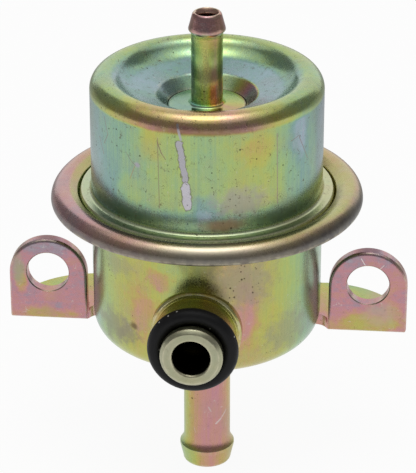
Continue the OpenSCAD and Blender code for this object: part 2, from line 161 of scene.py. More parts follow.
def cut_neck_hole(piece, radius, wall):
    """Cuts a round hole of that radius, along the inlet axis, through the front of a piece's wall."""
    form = bmesh.new()
    lying = Matrix.Translation((0, -wall * 0.001, 0)) @ Matrix.Rotation(math.pi / 2, 4, "X")
    bmesh.ops.create_cone(form, cap_ends=True, segments=96, radius1=radius * 0.001, radius2=radius * 0.001,
                          depth=0.02, matrix=lying)
    mesh = bpy.data.meshes.new("neck_hole")
    form.to_mesh(mesh)
    form.free()
    cutter = bpy.data.objects.new("neck_hole", mesh)
    bpy.context.scene.collection.objects.link(cutter)
    hole = piece.modifiers.new("neck_hole", "BOOLEAN")
    hole.object = cutter
    hole.operation = "DIFFERENCE"
    hole.solver = "EXACT"
    cut = bpy.data.meshes.new_from_object(piece.evaluated_get(bpy.context.evaluated_depsgraph_get()))
    piece.modifiers.clear()
    piece.data = cut
    bpy.data.objects.remove(cutter)


lip_up = leaning(lip_slope)
lip_a = 90 + lip_slope
lip_edge = (sheet - 2 * edge_r) * lip_up
lip_foot = np.array([lip_r + edge_r - lip_edge[0], cap_face + edge_r])
lip_head = lip_foot + lip_edge
crown_r = ((lip_head - [rim_r, belt_z]) @ lip_up + edge_r) / (1 + math.sin(math.radians(lip_slope)))
crown_c = (rim_r - crown_r, belt_z)
belly_c = (rim_r - belly_r, belt_z)
fillet_c = (shell_r + rim_fillet, rim_under - rim_fillet)
corner_c = (shell_r - corner_r, base_z + corner_r)
collar_c = (collar_r + collar_bend, base_z + collar_bend)
housing_profile = np.concatenate([
    [[collar_r, collar_top]],
    arc(collar_c, collar_bend, 180, 270),
    arc(corner_c, corner_r, 270, 360, 20),
    arc(fillet_c, rim_fillet, 180, 90),
    arc(belly_c, belly_r, 270, 360),
    arc(crown_c, crown_r, 0, lip_a, 24)[1:],
    arc(lip_head, edge_r, lip_a, lip_a + 90, 8),
    arc(lip_foot, edge_r, lip_a + 90, lip_a + 180, 8),
    arc(crown_c, crown_r - sheet, lip_a, 0),
    [[clamp_end, clamp_z], [shell_r, clamp_z], [shell_r - sheet, clamp_z - sheet]],
    arc(corner_c, corner_r - sheet, 360, 270),
    arc(collar_c, collar_bend - sheet, 270, 180),
    [[collar_r + sheet, collar_top]]])
housing = turned("housing_shell", fine(housing_profile, 0.8))
cut_neck_hole(housing, neck_hole_r, shell_r)
housing.data.name = "housing_shell"


def put(tree, kind, inputs=(), **settings):
    """Places a shader node. Settings are its properties, and inputs are sockets to link or values to set."""
    made = tree.nodes.new(kind)
    for key, value in settings.items():
        setattr(made, key, value)
    for key, value in inputs.items() if isinstance(inputs, dict) else enumerate(inputs):
        if isinstance(value, bpy.types.NodeSocket):
            tree.links.new(value, made.inputs[key])
        else:
            made.inputs[key].default_value = value
    return made.outputs


def calc(tree, operation, *values):
    """One step of arithmetic between sockets or numbers."""
    return put(tree, "ShaderNodeMath", values, operation=operation)[0]


def plus(tree, first, second):
    """The sum of two sockets or numbers."""
    return calc(tree, "ADD", first, second)


def minus(tree, first, second):
    """The difference of two sockets or numbers."""
    return calc(tree, "SUBTRACT", first, second)


def times(tree, first, second):
    """The product of two sockets or numbers."""
    return calc(tree, "MULTIPLY", first, second)


def larger(tree, first, second):
    """The larger of two sockets or numbers."""
    return calc(tree, "MAXIMUM", first, second)


def vector(tree, operation, *values):
    """One step of vector arithmetic that gives a vector."""
    return put(tree, "ShaderNodeVectorMath", values, operation=operation)[0]


def length(tree, value):
    """The length of a vector."""
    return put(tree, "ShaderNodeVectorMath", [value], operation="LENGTH")["Value"]


def noise(tree, place, scale, detail=2.0, rough=0.5, warp=0.0):
    """A cloudy value about 0.5, with features of one over the scale in size."""
    return put(tree, "ShaderNodeTexNoise", {
        "Vector": place, "Scale": scale, "Detail": detail, "Roughness": rough, "Distortion": warp})[0]


def blended(tree, share, under, over):
    """One colour laid over another by a share."""
    return put(tree, "ShaderNodeMix", {0: share, 6: under, 7: over}, data_type="RGBA")[2]


def graded(tree, value, low, high, start=0.0, end=1.0):
    """A value between low and high mapped smoothly on start to end."""
    return put(tree, "ShaderNodeMapRange", [value, low, high, start, end], interpolation_type="SMOOTHSTEP")[0]


def ramp(tree, value, stops):
    """A colour ramp through (place, colour) stops."""
    made = tree.nodes.new("ShaderNodeValToRGB")
    elements = made.color_ramp.elements
    while len(elements) < len(stops):
        elements.new(0.5)
    for element, (place, colour) in zip(elements, stops):
        element.position = place
        element.color = colour
    tree.links.new(value, made.inputs[0])
    return made.outputs[0]


def tint(r, g, b):
    """A colour as a picture editor writes it, 0 to 255, in the linear values that shaders take."""
    c = np.array([r, g, b]) / 255
    return (*np.where(c <= 0.04045, c / 12.92, ((c + 0.055) / 1.055) ** 2.4).tolist(), 1.0)


def effect(name, inputs, outputs):
    """A new shader node group with those sockets, and the nodes that stand for its inputs and outputs."""
    tree = bpy.data.node_groups.new(name, "ShaderNodeTree")
    for label, kind, value in inputs:
        socket = tree.interface.new_socket(label, in_out="INPUT", socket_type="NodeSocket" + kind)
        socket.default_value = value
    for label, kind in outputs:
        tree.interface.new_socket(label, in_out="OUTPUT", socket_type="NodeSocket" + kind)
    return tree, tree.nodes.new("NodeGroupInput").outputs, tree.nodes.new("NodeGroupOutput").inputs


def use(tree, group, **inputs):
    """Places a shared effect in a material with its own values."""
    return put(tree, "ShaderNodeGroup", inputs, node_tree=group)


def film_colour_effect():
    """The film's colour by its thickness: lilac, teal, green, yellow, gold, pink and lilac again."""
    tree, given, out = effect("film_colour", [("Film", "Float", 0.5)], [("Color", "Color")])
    shades = [
        (0.00, tint(166, 160, 174)), (0.10, tint(150, 170, 180)), (0.21, tint(128, 161, 154)),
        (0.33, tint(145, 178, 140)), (0.45, tint(164, 184, 116)), (0.57, tint(180, 180, 98)),
        (0.69, tint(186, 160, 104)), (0.80, tint(194, 146, 130)), (0.88, tint(190, 137, 144)),
        (0.95, tint(164, 140, 152)), (1.00, tint(160, 152, 162))]
    tree.links.new(ramp(tree, given["Film"], shades), out["Color"])
    return tree


def film_drift_effect():
    """Slow change of the film's thickness: two sizes of cloud, drawn out along the piece by the streak."""
    tree, given, out = effect("film_drift", [
        ("Place", "Vector", (0, 0, 0)), ("Spread", "Float", 9.0), ("Streak", "Float", 0.6),
        ("Depth", "Float", 0.1)], [("Film", "Float")])
    along = put(tree, "ShaderNodeCombineXYZ", [1.0, 1.0, given["Streak"]])[0]
    drawn = vector(tree, "MULTIPLY", given["Place"], along)
    big = noise(tree, drawn, calc(tree, "DIVIDE", 1.0, given["Spread"]), 3.0, 0.55, 0.6)
    small = noise(tree, drawn, calc(tree, "DIVIDE", 5.0, given["Spread"]), 4.0, 0.6, 1.0)
    cloud = plus(tree, minus(tree, big, 0.5), times(tree, minus(tree, small, 0.5), 0.45))
    tree.links.new(times(tree, times(tree, cloud, 3.0), given["Depth"]), out["Film"])
    return tree


def satin_grain_effect():
    """Satin surface of plated steel: a fine grain, as a height and as a light and dark shade."""
    tree, given, out = effect("satin_grain", [("Place", "Vector", (0, 0, 0)), ("Grain", "Float", 5.0)],
                              [("Height", "Float"), ("Shade", "Float")])
    grain = noise(tree, given["Place"], given["Grain"], 3.0, 0.65)
    tree.links.new(grain, out["Height"])
    tree.links.new(graded(tree, grain, 0.25, 0.75, -1.0, 1.0), out["Shade"])
    return tree


def tool_lines_effect():
    """Tool lines: marks left by the drawing die along a cup, or by the lathe round a turned piece."""
    tree, given, out = effect("tool_lines", [
        ("Place", "Vector", (0, 0, 0)), ("Squeeze", "Vector", (3, 3, 0.06))],
        [("Height", "Float"), ("Shade", "Float")])
    lines = noise(tree, vector(tree, "MULTIPLY", given["Place"], given["Squeeze"]), 1.0, 3.0, 0.7)
    tree.links.new(lines, out["Height"])
    tree.links.new(graded(tree, lines, 0.3, 0.7, -1.0, 1.0), out["Shade"])
    return tree


def specks_effect():
    """Specks: small dark pits and dust, one at a random place in some of the cells."""
    tree, given, out = effect("specks", [
        ("Place", "Vector", (0, 0, 0)), ("Cells", "Float", 0.8), ("Share", "Float", 0.3),
        ("Size", "Float", 0.12)], [("Mask", "Float")])
    cells = put(tree, "ShaderNodeTexVoronoi", {
        "Vector": given["Place"], "Scale": given["Cells"], "Randomness": 1.0})
    pick = put(tree, "ShaderNodeSeparateColor", [cells["Color"]])
    chosen = calc(tree, "LESS_THAN", pick[0], given["Share"])
    reach = times(tree, plus(tree, pick[1], 0.25), given["Size"])
    outside = graded(tree, calc(tree, "DIVIDE", cells["Distance"], reach), 0.6, 1.0)
    tree.links.new(times(tree, minus(tree, 1.0, outside), chosen), out["Mask"])
    return tree


def hairlines_effect():
    """Hairlines: fine curved lines where a cloud passes its middle value, broken up by a second cloud."""
    tree, given, out = effect("hairlines", [
        ("Place", "Vector", (0, 0, 0)), ("Scale", "Float", 0.5), ("Width", "Float", 0.012),
        ("Amount", "Float", 0.5)], [("Mask", "Float")])
    sway = noise(tree, given["Place"], given["Scale"], 1.0, warp=1.5)
    off = calc(tree, "ABSOLUTE", minus(tree, sway, 0.5))
    line = minus(tree, 1.0, graded(tree, off, 0.0, given["Width"]))
    kept = graded(tree, noise(tree, given["Place"], 0.9), 0.53, 0.62)
    tree.links.new(times(tree, times(tree, line, kept), given["Amount"]), out["Mask"])
    return tree


def ragged_off(tree, away, place, grain, detail_rough, ragged):
    """A distance made ragged: plus a cloud less its mean of 0.5, times four times the raggedness."""
    rag = noise(tree, place, grain, 4.0, detail_rough)
    return plus(tree, away, times(tree, minus(tree, rag, 0.5), times(tree, ragged, 4.0)))


def patch_effect():
    """Patch: a ragged spot round a centre, for thicker film, a stain, a rubbed place, painted shade and
    painted highlights.
    """
    tree, given, out = effect("patch", [
        ("Place", "Vector", (0, 0, 0)), ("Centre", "Vector", (0, 0, 0)), ("Size", "Vector", (1, 1, 1)),
        ("Ragged", "Float", 0.5), ("Grain", "Float", 0.3)], [("Mask", "Float")])
    away = vector(tree, "SUBTRACT", given["Place"], given["Centre"])
    away = length(tree, vector(tree, "DIVIDE", away, given["Size"]))
    away = ragged_off(tree, away, given["Place"], given["Grain"], 0.6, given["Ragged"])
    tree.links.new(graded(tree, away, 0.35, 1.25, 1.0, 0.0), out["Mask"])
    return tree


def stroke_effect():
    """Stroke: a scratch along a straight line from one place to another, with a ragged edge.
    The line's nearest point is its start plus the run times the share gone, from 0 to 1."""
    tree, given, out = effect("stroke", [
        ("Place", "Vector", (0, 0, 0)), ("Start", "Vector", (0, 0, 0)), ("Run", "Vector", (0, 1, 0)),
        ("Width", "Float", 0.1), ("Ragged", "Float", 0.3)], [("Mask", "Float")])
    away = vector(tree, "SUBTRACT", given["Place"], given["Start"])
    gone = put(tree, "ShaderNodeVectorMath", [away, given["Run"]], operation="DOT_PRODUCT")["Value"]
    whole = put(tree, "ShaderNodeVectorMath", [given["Run"], given["Run"]], operation="DOT_PRODUCT")["Value"]
    share = put(tree, "ShaderNodeClamp", [calc(tree, "DIVIDE", gone, whole), 0.0, 1.0])[0]
    nearest = put(tree, "ShaderNodeVectorMath", {0: given["Run"], "Scale": share}, operation="SCALE")[0]
    away = length(tree, vector(tree, "SUBTRACT", away, nearest))
    away = calc(tree, "DIVIDE", away, given["Width"])
    away = ragged_off(tree, away, given["Place"], 1.1, 0.65, given["Ragged"])
    tree.links.new(graded(tree, away, 0.85, 1.1, 1.0, 0.0), out["Mask"])
    return tree


def edge_wear_effect():
    """Edge wear: exposed edges rubbed bright, in a broken line."""
    tree, given, out = effect("edge_wear", [
        ("Place", "Vector", (0, 0, 0)), ("Edge", "Float", 0.0), ("Wear", "Float", 0.6)], [("Mask", "Float")])
    rub = noise(tree, given["Place"], 0.7, 4.0, 0.65)
    worn = times(tree, given["Edge"], graded(tree, rub, 0.35, 0.62))
    tree.links.new(times(tree, worn, given["Wear"]), out["Mask"])
    return tree


film_colour = film_colour_effect()
film_drift = film_drift_effect()
satin_grain = satin_grain_effect()
tool_lines = tool_lines_effect()
specks = specks_effect()
hairlines = hairlines_effect()
patch = patch_effect()
stroke = stroke_effect()
edge_wear = edge_wear_effect()


def fresh(name, metal):
    """A new material, its node tree, its shader, and the socket of a place on the piece in millimetres."""
    material = bpy.data.materials.new(name)
    material.use_nodes = True
    tree = material.node_tree
    shader = tree.nodes["Principled BSDF"]
    shader.inputs["Metallic"].default_value = metal
    metres = put(tree, "ShaderNodeTexCoord")["Object"]
    place = put(tree, "ShaderNodeVectorMath", {0: metres, "Scale": 1000.0}, operation="SCALE")[0]
    return material, tree, shader, place


def finished(tree, shader, colour, rough, height, strength, distance=0.00005):
    """Links a colour, a roughness and a relief of that distance, in metres, to the shader."""
    tree.links.new(colour, shader.inputs["Base Color"])
    tree.links.new(rough, shader.inputs["Roughness"])
    bump = put(tree, "ShaderNodeBump", {"Strength": strength, "Distance": distance, "Height": height})[0]
    tree.links.new(bump, shader.inputs["Normal"])


def dressed(piece, material):
    """Gives a piece or a CAD node its one material."""
    piece.data.materials.clear()
    piece.data.materials.append(material)
    return piece


def surveyed(tree, place, wall, upright, flat, seed):
    """Where a place lies on a piece, as sockets: its height along the piece's axis, its radius from it,
    its turn round it (0.5 at the front, or at the top of a lying piece), its place on the unrolled sheet of
    that wall radius, or (x, z) on a flat piece, and a place moved by the seed, for patterns."""
    x, y, z = put(tree, "ShaderNodeSeparateXYZ", [place])
    forward = times(tree, y, -1.0)
    height = z if upright else forward
    local = put(tree, "ShaderNodeCombineXYZ", [forward, x, z] if upright else [z, x, forward])[0]
    turn = put(tree, "ShaderNodeTexGradient", [local], gradient_type="RADIAL")[1]
    unrolled = times(tree, minus(tree, turn, 0.5), 2 * math.pi * wall)
    return SimpleNamespace(
        wall=wall, flat=flat, height=height, turn=turn,
        radius=length(tree, vector(tree, "MULTIPLY", local, (1, 1, 0))),
        sheet=put(tree, "ShaderNodeCombineXYZ", [x, z, 0.0] if flat else [unrolled, height, 0.0])[0],
        seeded=vector(tree, "ADD", local, (seed, seed * 0.7, seed * 1.3)))


def at(on, across, height):
    """A place on the sheet, given as degrees from the front and height, or as (x, z) on a flat piece."""
    return np.array([across if on.flat else math.radians(across) * on.wall, height, 0.0])


def spot(tree, on, centre, size, ragged, grain=0.3):
    """The mask of a ragged spot on the sheet."""
    return use(tree, patch, Place=on.sheet, Centre=at(on, *centre), Size=(*size, 1.0), Ragged=ragged,
               Grain=grain)["Mask"]


def film_round(tree, on, film):
    """The film's thickness round the piece, from a few thicknesses by their degrees."""
    return ramp(tree, on.turn, [(0.5 + degrees / 360, (f, f, f, 1)) for degrees, f in film.items()])


def film_on(tree, on, around, zones, marks, spread, drift, streak):
    """The film's thickness at a place: round the piece, over it the zones' own, plus slow drift and marks.
    A zone is (radius or height, low, high, film) and a mark (centre, size, ragged, change)."""
    film = film_round(tree, on, around)
    for measure, low, high, own in zones:
        inside = graded(tree, on.radius if measure == "radius" else on.height, low, high)
        over = film_round(tree, on, own)
        film = put(tree, "ShaderNodeMix", {0: inside, 2: film, 3: over}, data_type="FLOAT")[0]
    slow = use(tree, film_drift, Place=on.seeded, Spread=spread, Streak=streak, Depth=drift)
    film = plus(tree, film, slow["Film"])
    for centre, size, ragged, change in marks:
        film = plus(tree, film, times(tree, spot(tree, on, centre, size, ragged), change))
    return film


def stained_and_painted(tree, on, colour, dull, stains_and_painted_light):
    """Lays each stain, painted shade, painted highlight and painted reflection over a colour and dulls it.
    Each is (centre, size, ragged, colour, share).
    """
    for centre, size, ragged, stain, share in stains_and_painted_light:
        mask = times(tree, spot(tree, on, centre, size, ragged, 0.6), share)
        colour = blended(tree, mask, colour, stain)
        dull = larger(tree, dull, mask)
    return colour, dull


def speckled(tree, on, speck, pits):
    """The mask of scattered specks, with groups of small pits, each (centre, size)."""
    dots = use(tree, specks, Place=on.seeded, Cells=0.75, Share=speck, Size=0.115)["Mask"]
    for centre, size in pits:
        small = use(tree, specks, Place=on.seeded, Cells=1.7, Share=0.75, Size=0.3)["Mask"]
        dots = larger(tree, dots, times(tree, spot(tree, on, centre, size, 0.3), small))
    return dots


def scratched(tree, on, colour, dug, scratches):
    """Draws scratches and digs them in; the same strokes draw a painted shadow along a peeled edge.
    A scratch is (start, end, half width, ragged, colour, share).
    """
    for start, end, width, ragged, bare, share in scratches:
        run = at(on, *end) - at(on, *start)
        line = use(tree, stroke, Place=on.sheet, Start=at(on, *start), Run=run, Width=width,
                   Ragged=ragged)["Mask"]
        colour = blended(tree, times(tree, line, share), colour, bare)
        dug = plus(tree, dug, line)
    return colour, dug


def exposed(tree, on):
    """How exposed a place is: a new piece's edge value, or how far a flat CAD node's face is from square."""
    if not on.flat:
        return put(tree, "ShaderNodeAttribute", attribute_name="edge")["Fac"]
    facing = vector(tree, "ABSOLUTE", put(tree, "ShaderNodeNewGeometry")["Normal"])
    x, y, z = put(tree, "ShaderNodeSeparateXYZ", [facing])
    return graded(tree, larger(tree, x, larger(tree, y, z)), 0.72, 0.97, 1.0, 0.0)


def painted_bore_shade(tree, on, colour, radius, mouth, inside):
    """Paints shade into a bore of that radius, darkening it from the height of its mouth to that of its
    inside.
    """
    within = graded(tree, on.radius, radius, radius + 0.1, 1.0, 0.0)
    hole = times(tree, within, graded(tree, on.height, mouth, inside))
    return blended(tree, times(tree, hole, 0.9), colour, tint(30, 26, 18))


def plated(name, around, wall, upright=True, flat=False, zones=(), marks=(), stains_and_painted_light=(), scratches=(), pits=(),
           bore=None, seed=0.0, spread=9.0, drift=0.1, streak=0.6, squeeze=(3, 3, 0.06), rough=0.28,
           grey=0.25, wear=0.6, speck=0.2, hair=0.5, crack=0.3):
    """Yellow-passivated zinc: a metal whose colour is the film's, by its thickness at each place.
    Over it lie thin grey places, each stain, painted shade, painted highlights and reflections, specks, pits,
    bright hairlines, cracks, scratches and worn edges, and painted shade inside a bore."""
    material, tree, shader, place = fresh(name, 1.0)
    on = surveyed(tree, place, wall, upright, flat, seed)
    film = film_on(tree, on, around, zones, marks, spread, drift, streak)
    satin = use(tree, satin_grain, Place=on.seeded, Grain=4.0)
    tooled = use(tree, tool_lines, Place=on.seeded, Squeeze=squeeze)
    colour = use(tree, film_colour, Film=plus(tree, film, times(tree, tooled["Shade"], 0.025)))["Color"]
    thin = graded(tree, noise(tree, on.seeded, 0.16, 4.0, 0.6), 0.42, 0.72, 0.0, grey)
    colour = blended(tree, thin, colour, tint(158, 156, 150))
    colour, dull = stained_and_painted(tree, on, colour, times(tree, thin, 1.5), stains_and_painted_light)
    shade = plus(tree, times(tree, satin["Shade"], 0.05), times(tree, tooled["Shade"], 0.03))
    colour = put(tree, "ShaderNodeHueSaturation", {"Value": plus(tree, shade, 1.0), "Color": colour})[0]
    dots = speckled(tree, on, speck, pits)
    colour = blended(tree, times(tree, dots, 0.75), colour, tint(66, 58, 44))
    hairs = use(tree, hairlines, Place=on.seeded, Scale=0.35, Amount=hair)["Mask"]
    colour = blended(tree, times(tree, hairs, 0.6), colour, tint(205, 200, 190))
    aside = vector(tree, "ADD", on.seeded, (31, 17, 5))
    cracks = use(tree, hairlines, Place=aside, Scale=0.9, Width=0.03, Amount=crack)["Mask"]
    colour = blended(tree, cracks, colour, tint(92, 78, 66))
    dug = plus(tree, times(tree, larger(tree, dots, cracks), 1.2), times(tree, hairs, 0.8))
    colour, dug = scratched(tree, on, colour, dug, scratches)
    rubbed = use(tree, edge_wear, Place=on.seeded, Edge=exposed(tree, on), Wear=wear)["Mask"]
    colour = blended(tree, rubbed, colour, tint(206, 200, 172))
    # Painted shade inside the bore, where little light reaches.
    if bore:
        colour = painted_bore_shade(tree, on, colour, *bore)
    gloss = plus(tree, times(tree, satin["Shade"], 0.05), plus(tree, rough, times(tree, dull, 0.17)))
    relief = plus(tree, times(tree, satin["Height"], 0.9), times(tree, tooled["Height"], 0.8))
    finished(tree, shader, colour, plus(tree, gloss, times(tree, dots, 0.3)), minus(tree, relief, dug), 0.16)
    return material


lip_film = {-180: 0.66, -120: 0.62, -90: 0.62, -60: 0.62, -30: 0.66, 0: 0.66, 30: 0.62, 60: 0.58, 90: 0.58,
            130: 0.62, 180: 0.66}
crest_film = {-180: 0.7, -120: 0.78, -90: 0.84, -60: 0.88, -30: 0.84, 0: 0.72, 30: 0.66, 60: 0.6, 90: 0.6,
              130: 0.68, 180: 0.7}
roll_film = {-180: 0.74, -120: 0.86, -90: 0.88, -60: 0.9, -30: 0.82, 0: 0.68, 30: 0.68, 60: 0.7, 90: 0.72,
             130: 0.74, 180: 0.74}
wall_film = {-180: 0.45, -120: 0.5, -92: 0.3, -72: 0.28, -60: 0.36, -50: 0.42, -42: 0.52, -31: 0.58, -13: 0.5,
             0: 0.5, 14: 0.64, 26: 0.66, 40: 0.58, 50: 0.48, 62: 0.34, 75: 0.28, 92: 0.3, 130: 0.6, 180: 0.45}
rim_grey_and_painted_light = [
    ((0, 17.5), (90.0, 1.6), 0.1, tint(178, 164, 154), 0.25),
    # Worn grey film at the front of the rim, with a painted highlight: paler where the rim catches the light.
    ((6, 17.3), (9.0, 1.5), 0.1, tint(190, 184, 172), 0.6),
    # Painted dark reflection on the right side of the rim.
    ((66, 16.7), (13.0, 1.3), 0.15, tint(100, 99, 102), 0.85),
    # Painted shade: a dark band all round the rim's outer roll.
    ((0, 15.9), (90.0, 1.15), 0.06, tint(104, 103, 104), 0.85)]
wall_stains_and_painted_reflection = [
    ((22, 8.5), (6.5, 5.0), 0.4, tint(160, 152, 128), 0.7),
    # Painted reflection: a dark patch on the wall above the spigot, where the spigot is mirrored.
    ((2, 11.8), (4.0, 2.4), 0.25, tint(104, 100, 60), 0.5),
    ((-48, -2.5), (5.0, 3.4), 0.5, tint(142, 138, 122), 0.6),
    ((-38, -2.9), (3.0, 2.0), 0.5, tint(140, 134, 116), 0.55),
    ((-45, 9.3), (4.0, 2.5), 0.5, tint(150, 148, 130), 0.45),
    ((-33.5, -1.0), (0.9, 0.7), 0.15, tint(110, 90, 70), 0.8),
    ((50, -2.5), (6.0, 4.0), 0.5, tint(150, 146, 132), 0.5)]
dressed(housing, plated(
    "housing_plating", lip_film, shell_r,
    zones=[("radius", 22.5, 23.2, crest_film), ("radius", 24.2, 25.0, roll_film),
           ("height", 14.9, 14.5, wall_film)],
    marks=[((-27, 2.3), (3.4, 5.5), 0.6, 0.15), ((-17, 8.7), (2.8, 2.2), 0.7, 0.18),
           ((24, 2.4), (2.6, 6.5), 0.6, 0.16)],
    stains_and_painted_light=rim_grey_and_painted_light + wall_stains_and_painted_reflection,
    pits=[((24, 9.6), (3.6, 3.0)), ((16, 7.0), (2.2, 2.0)), ((30, 7.5), (2.0, 2.8)), ((-53, 5.5), (2.4, 3.0)),
          ((40, -5.0), (3.0, 2.0))],
    seed=3.0, spread=11.0, drift=0.09, rough=0.22))
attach(housing, "regulator_body")
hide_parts("lower_housing")

# Mounting bracket: one 2 mm sheet, bent up into an ear with a bolt hole on each side and brazed round
# the back of the housing. It is plated with the housing.
# Its film came out pink, with gold towards the lower edges.
strap_r = 20.0
bracket_film = {-180: 0.6, -130: 0.55, -105: 0.74, -90: 0.88, 0: 0.88, 90: 0.88, 105: 0.74, 130: 0.55,
                180: 0.6}
dressed(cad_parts["mounting_bracket"], plated(
    "bracket_plating", bracket_film, strap_r, flat=True,
    marks=[((-27.6, -8.1), (6.0, 1.7), 0.4, -0.2), ((-31.9, -1.0), (1.2, 3.0), 0.4, -0.22),
           ((-27.3, 4.8), (5.0, 2.0), 0.4, 0.06), ((27.0, -7.6), (7.0, 2.4), 0.4, -0.22),
           ((32.1, -5.8), (2.0, 2.6), 0.4, -0.14), ((27.4, 5.1), (5.0, 2.0), 0.4, 0.05)],
    # Painted dark reflections along the rounded top edge of each ear's arc.
    stains_and_painted_light=[((27.4, 6.3), (3.8, 0.7), 0.12, tint(118, 94, 104), 0.75),
            ((-27.4, 6.3), (3.8, 0.7), 0.12, tint(126, 98, 96), 0.7),
            ((-32.3, 0.4), (1.3, 3.0), 0.3, tint(166, 166, 148), 0.7),
            ((29.5, -5.6), (3.4, 2.6), 0.4, tint(192, 172, 146), 0.6)],
    scratches=[((26.0, 5.0), (26.7, 3.8), 0.07, 0.2, tint(226, 220, 216), 0.8),
               ((29.9, 3.9), (29.2, 3.1), 0.06, 0.2, tint(220, 214, 210), 0.7)],
    seed=17.0, spread=5.0, drift=0.11, streak=1.0, squeeze=(0.4, 0.4, 2.0), speck=0.45, hair=0.9, grey=0.2))

# Inlet spigot: turned from steel bar and brazed on the housing's wall, with a neck that passes through it.
# Behind its tip lies the groove for the seal ring. Distances are from the body axis, along the inlet axis.
neck_end = 17.45
neck_r = 4.45
throttle_r = 2.05
throttle_l = 3.0
throttle_cone = 1.0
base_r = 7.45
base_face = 19.85
base_chamfer = 0.3
shoulder_r = 6.6
shoulder_edge = 0.2
groove_r = 4.75
groove_back = 23.7
groove_front = 26.5
tip_r = 5.1
tip_y = 28.4
tip_chamfer = 0.6
bore_r = 3.05
bore_chamfer = 0.25
saddle_r = 19.28
saddle_mark = 18.78


def eased(profile, reach):
    """Breaks each sharp corner of a closed profile: three points of a small round take the corner's place.
    The outer two lie up to reach along the two sides, and the middle one halfway to the corner."""
    back = np.roll(profile, 1, 0) - profile
    ahead = np.roll(profile, -1, 0) - profile
    back_l = np.linalg.norm(back, axis=1)
    ahead_l = np.linalg.norm(ahead, axis=1)
    sharp = (back * ahead).sum(1) / (back_l * ahead_l) > -0.93
    cut = np.minimum(reach, 0.35 * np.minimum(back_l, ahead_l))[:, None]
    first = profile + cut * back / back_l[:, None]
    last = profile + cut * ahead / ahead_l[:, None]
    middle = (first + last + 2 * profile) / 4
    count = np.where(sharp, 3, 1)
    which = np.repeat(np.arange(len(profile)), count)
    step = np.arange(len(which)) - np.repeat(np.cumsum(count) - count, count)
    made = np.stack([first, middle, last], 1)[which, step]
    return np.where(sharp[which, None], made, profile[which])


def saddled(name, profile, on_wall, columns=200):
    """A profile of (radius, distance) carried round the inlet axis: x = -r sin a, z = r cos a, y = -distance.
    Where on_wall is 1 the distance is the housing's wall: the root of its radius squared less x squared."""
    a = np.linspace(0, 2 * np.pi, columns, endpoint=False)
    r = profile[:, :1]
    x = -r * np.sin(a)
    share = on_wall[:, None]
    y = -(share * np.sqrt(saddle_r ** 2 - x ** 2) + (1 - share) * profile[:, 1:])
    return skin(name, np.stack([x, y, r * np.cos(a)], -1), edge_of(profile))


spigot_profile = np.array([
    [throttle_r, neck_end], [neck_r, neck_end], [neck_r, saddle_mark], [base_r, saddle_mark],
    [base_r, base_face - base_chamfer], [base_r - base_chamfer, base_face],
    [shoulder_r, base_face], [shoulder_r, groove_back - shoulder_edge],
    [shoulder_r - shoulder_edge, groove_back],
    [groove_r, groove_back], [groove_r, groove_front], [tip_r, groove_front],
    [tip_r, tip_y - tip_chamfer], [tip_r - tip_chamfer, tip_y],
    [bore_r + bore_chamfer, tip_y], [bore_r, tip_y - bore_chamfer],
    [bore_r, neck_end + throttle_l + throttle_cone], [throttle_r, neck_end + throttle_l]])
spigot_profile = fine(eased(spigot_profile, 0.12), 0.5)
on_wall = (np.abs(spigot_profile[:, 1] - saddle_mark) < 0.17) * (spigot_profile[:, 0] > neck_r - 0.2)
spigot = saddled("spigot_turning", spigot_profile, on_wall)
spigot_film = {-180: 0.7, -120: 0.6, -60: 0.62, 0: 0.55, 60: 0.6, 120: 0.68, 180: 0.7}
tip_film = {-180: 0.55, -90: 0.48, 0: 0.5, 90: 0.48, 180: 0.55}
dressed(spigot, plated(
    "spigot_plating", spigot_film, shoulder_r, upright=False,
    zones=[("height", 26.1, 26.5, tip_film)],
    stains_and_painted_light=[((0, 27.8), (99.0, 1.6), 0.1, tint(164, 159, 148), 0.7)],
    # Painted shade inside the tip's bore.
    bore=(bore_r, 28.3, 27.8),
    seed=29.0, spread=7.0, drift=0.1, squeeze=(0.1, 0.1, 7.0), rough=0.24, wear=0.8))
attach(spigot, "regulator_body")
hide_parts("inlet_spigot")

# Inlet seal ring: a moulded rubber ring that sits in the spigot's groove.
# A faint parting line runs round it where the mould's halves met.
ring_y = 25.1
ring_mid = 6.095
ring_half = 1.325
flash_h = 0.02
flash_w = 0.06


def seal_ring(name):
    """A ring round the inlet axis: r = mid + h cos b, x = r sin a, z = r cos a, y = -(distance) + h sin b.
    h is the half thickness, less the flash's height away from b = 0 and b = pi, where the mould parted."""
    a = np.linspace(0, 2 * np.pi, 220, endpoint=False)
    b = np.linspace(0, 2 * np.pi, 72, endpoint=False)[:, None]
    h = ring_half - flash_h + flash_h * np.exp(-(np.sin(b) / flash_w) ** 2)
    r = ring_mid + h * np.cos(b)
    y = -ring_y + h * np.sin(b) + 0 * a
    return skin(name, np.stack([r * np.sin(a), y, r * np.cos(a)], -1), np.zeros(len(b)))


def black_rubber(name):
    """Moulded black rubber: slow grey bloom, fine mould grain and a little pale lint."""
    material, tree, shader, place = fresh(name, 0.0)
    shader.inputs["Specular IOR Level"].default_value = 0.2
    mould = use(tree, satin_grain, Place=place, Grain=3.0)
    bloom = graded(tree, noise(tree, place, 0.5, 3.0), 0.4, 0.75)
    lint = use(tree, specks, Place=place, Cells=0.75, Share=0.2, Size=0.12)["Mask"]
    colour = blended(tree, times(tree, bloom, 0.5), tint(17, 17, 18), tint(28, 28, 30))
    colour = blended(tree, times(tree, lint, 0.8), colour, tint(190, 188, 182))
    rough = plus(tree, times(tree, bloom, 0.12), 0.46)
    finished(tree, shader, colour, rough, mould["Height"], 0.25, 0.00004)
    return material


seal = dressed(seal_ring("seal_ring"), black_rubber("seal_rubber"))
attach(seal, "regulator_body")
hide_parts("inlet_seal_ring")

